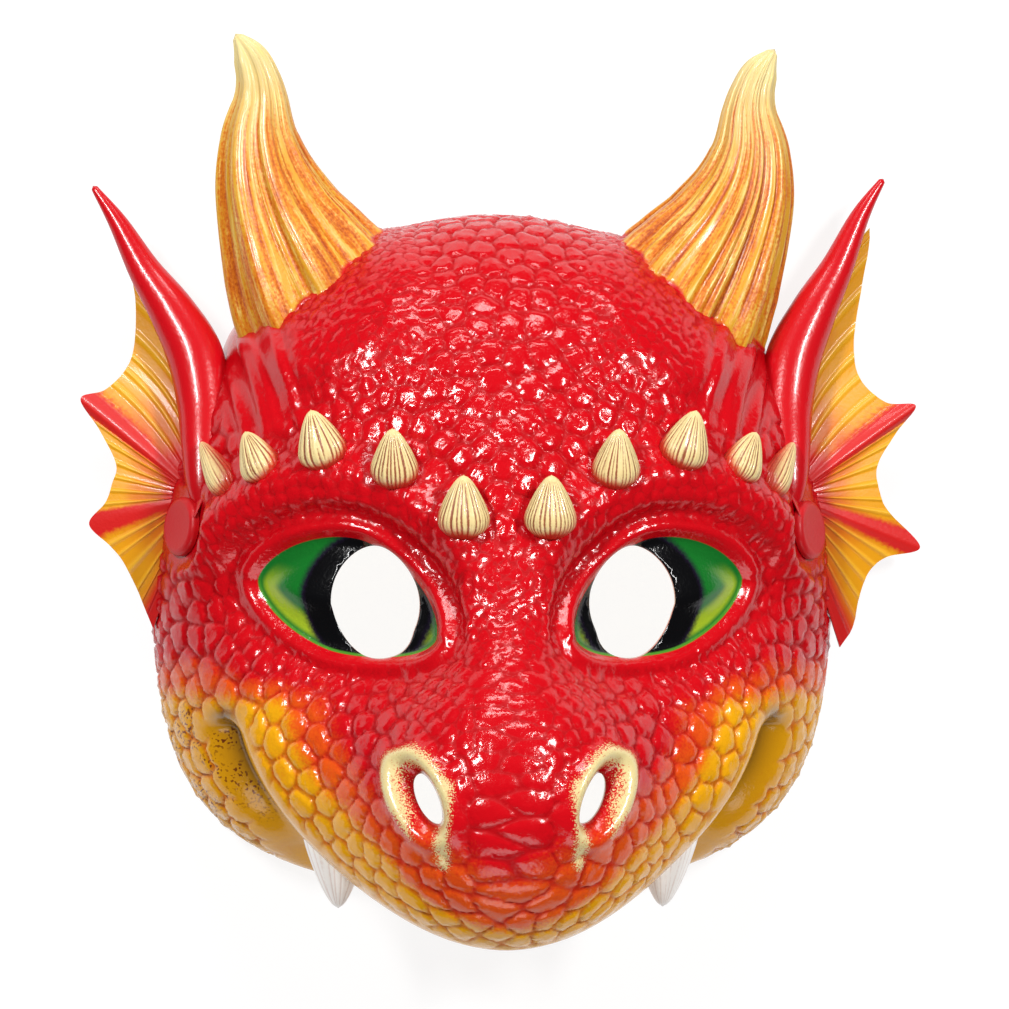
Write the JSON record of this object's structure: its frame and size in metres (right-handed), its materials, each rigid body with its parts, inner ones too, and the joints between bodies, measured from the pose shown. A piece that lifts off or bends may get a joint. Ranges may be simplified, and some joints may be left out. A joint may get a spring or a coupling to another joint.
{
  "type": "dragon mask",
  "caption": "Moulded half mask of a horned dragon's face lying face up: hollow shell with horns, webbed ear fins, brow spikes, fangs, and open eye and nostril holes.",
  "frame": {"origin": "centre of the whole part's box at the level of the rim that it lies on", "axes": "+Z out of the face, +Y from the chin to the horns, +X to the right as seen from the front"},
  "size_m": [0.2156, 0.2282, 0.1],
  "materials": {
    "painted_foam": "gloss",
    "rivet": "satin"
  },
  "bodies": {
    "root": {"mask_shell": "painted_foam", "rivet_left": "rivet", "rivet_right": "rivet"}
  },
  "joints": []
}
